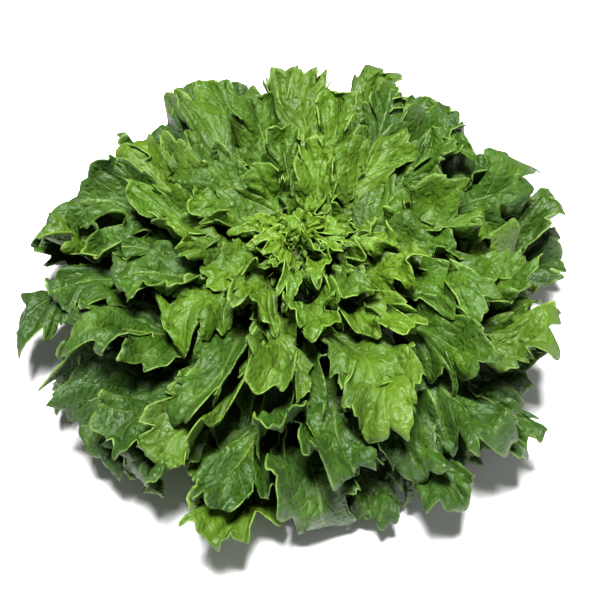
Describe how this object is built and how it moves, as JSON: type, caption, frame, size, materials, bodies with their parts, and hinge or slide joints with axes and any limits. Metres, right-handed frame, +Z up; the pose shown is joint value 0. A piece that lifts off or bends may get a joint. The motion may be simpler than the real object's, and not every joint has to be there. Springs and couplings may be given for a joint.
{
  "type": "head of chicory greens",
  "caption": "Whole head of broad-leaved chicory: lobed, waved green leaves spiral round a short cut stem and get smaller and paler towards a tight heart.",
  "frame": {"origin": "the middle of the stem's flat cut face, which rests on the table", "axes": "+Z up along the stem through the heart, -Y towards the side seen in the picture, +X to its right"},
  "size_m": [0.3127, 0.3096, 0.1183],
  "materials": {
    "outer_leaf": "satin",
    "middle_leaf": "satin",
    "heart": "satin",
    "stem": "matte"
  },
  "bodies": {
    "root": {"outer_leaf_01": "outer_leaf", "outer_leaf_02": "outer_leaf", "outer_leaf_03": "outer_leaf", "outer_leaf_04": "outer_leaf", "outer_leaf_05": "outer_leaf", "outer_leaf_06": "outer_leaf", "outer_leaf_07": "outer_leaf", "outer_leaf_08": "outer_leaf", "outer_leaf_09": "outer_leaf", "outer_leaf_10": "outer_leaf", "outer_leaf_11": "outer_leaf", "outer_leaf_12": "outer_leaf", "outer_leaf_13": "outer_leaf", "outer_leaf_14": "outer_leaf", "outer_leaf_15": "outer_leaf", "outer_leaf_16": "outer_leaf", "outer_leaf_17": "outer_leaf", "outer_leaf_18": "outer_leaf", "outer_leaf_19": "outer_leaf", "outer_leaf_20": "outer_leaf", "outer_leaf_21": "outer_leaf", "outer_leaf_22": "outer_leaf", "outer_leaf_23": "outer_leaf", "outer_leaf_24": "outer_leaf", "outer_leaf_25": "outer_leaf", "outer_leaf_26": "outer_leaf", "outer_leaf_27": "outer_leaf", "outer_leaf_28": "outer_leaf", "middle_leaf_01": "middle_leaf", "middle_leaf_02": "middle_leaf", "middle_leaf_03": "middle_leaf", "middle_leaf_04": "middle_leaf", "middle_leaf_05": "middle_leaf", "middle_leaf_06": "middle_leaf", "middle_leaf_07": "middle_leaf", "middle_leaf_08": "middle_leaf", "middle_leaf_09": "middle_leaf", "middle_leaf_10": "middle_leaf", "middle_leaf_11": "middle_leaf", "middle_leaf_12": "middle_leaf", "middle_leaf_13": "middle_leaf", "middle_leaf_14": "middle_leaf", "middle_leaf_15": "middle_leaf", "middle_leaf_16": "middle_leaf", "middle_leaf_17": "middle_leaf", "middle_leaf_18": "middle_leaf", "middle_leaf_19": "middle_leaf", "middle_leaf_20": "middle_leaf", "middle_leaf_21": "middle_leaf", "middle_leaf_22": "middle_leaf", "middle_leaf_23": "middle_leaf", "middle_leaf_24": "middle_leaf", "middle_leaf_25": "middle_leaf", "middle_leaf_26": "middle_leaf", "middle_leaf_27": "middle_leaf", "middle_leaf_28": "middle_leaf", "heart": "heart", "stem": "stem"}
  },
  "joints": []
}
